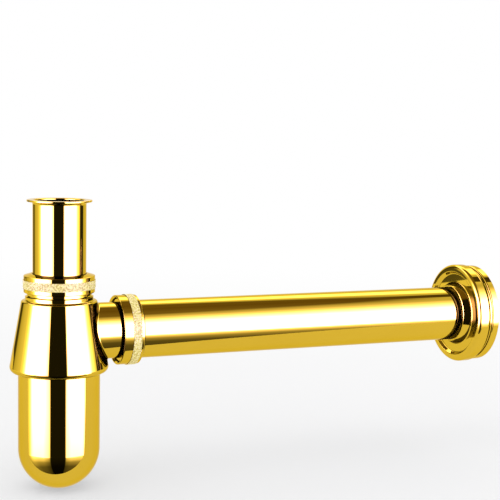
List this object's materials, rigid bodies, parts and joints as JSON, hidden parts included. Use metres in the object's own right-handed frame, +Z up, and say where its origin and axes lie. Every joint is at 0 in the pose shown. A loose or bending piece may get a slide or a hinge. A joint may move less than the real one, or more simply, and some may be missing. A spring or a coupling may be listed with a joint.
{
  "type": "basin bottle trap",
  "caption": "Round bottle trap for a wash basin: telescopic inlet tube, tapered body with a screw-off cup, and a straight outlet tube with a sliding wall cover.",
  "frame": {"origin": "Where the vertical axis of the inlet tube crosses the horizontal axis of the outlet tube.", "axes": "+Z up along the inlet tube towards the basin waste, +X along the outlet tube towards the wall."},
  "size_m": [0.3226, 0.0666, 0.1756],
  "materials": {
    "polished_brass": "mirror-polished gold plating",
    "black_rubber": "moulded",
    "white_nylon": "moulded"
  },
  "bodies": {
    "inlet": {"inlet_tube": "polished_brass"},
    "trap": {"body": "polished_brass", "inlet_seal": "black_rubber", "outlet_washer": "black_rubber", "outlet_tube": "polished_brass"},
    "inlet_ring": {"inlet_slip_ring": "white_nylon"},
    "inlet_union": {"inlet_nut": "polished_brass"},
    "outlet_ring": {"outlet_slip_ring": "white_nylon"},
    "outlet_union": {"outlet_nut": "polished_brass"},
    "cup_gasket": {"cup_washer": "black_rubber"},
    "bottle": {"cup": "polished_brass"},
    "cover": {"wall_cover": "polished_brass", "wall_cover_o_ring": "black_rubber"}
  },
  "joints": [
    {"name": "height_slide", "type": "slide", "parent": "inlet", "child": "trap", "axis": [0, 0, 1], "range_m": [-0.025, 0.015]},
    {"name": "inlet_nut_lift", "type": "slide", "parent": "trap", "child": "inlet_ring", "axis": [0, 0, 1], "range_m": [0, 0.0046]},
    {"name": "inlet_nut_turn", "type": "hinge", "parent": "inlet_ring", "child": "inlet_union", "pos_m": [0, 0, 0.033], "axis": [0, 0, 1], "range_deg": [0, 1080]},
    {"name": "outlet_nut_shift", "type": "slide", "parent": "trap", "child": "outlet_ring", "axis": [1, 0, 0], "range_m": [0, 0.0046]},
    {"name": "outlet_nut_turn", "type": "hinge", "parent": "outlet_ring", "child": "outlet_union", "pos_m": [0.045, 0, 0], "axis": [1, 0, 0], "range_deg": [0, 1080]},
    {"name": "cup_drop", "type": "slide", "parent": "trap", "child": "cup_gasket", "axis": [0, 0, -1], "range_m": [0, 0.0061]},
    {"name": "cup_turn", "type": "hinge", "parent": "cup_gasket", "child": "bottle", "pos_m": [0, 0, -0.0166], "axis": [0, 0, -1], "range_deg": [0, 1440]},
    {"name": "cover_slide", "type": "slide", "parent": "trap", "child": "cover", "axis": [-1, 0, 0], "range_m": [0, 0.2]}
  ],
  "couplings": [
    {"joint": "inlet_nut_lift", "follows": "inlet_nut_turn", "m_per_rad": 0.00023873},
    {"joint": "outlet_nut_shift", "follows": "outlet_nut_turn", "m_per_rad": 0.00023873},
    {"joint": "cup_drop", "follows": "cup_turn", "m_per_rad": 0.00023873}
  ]
}
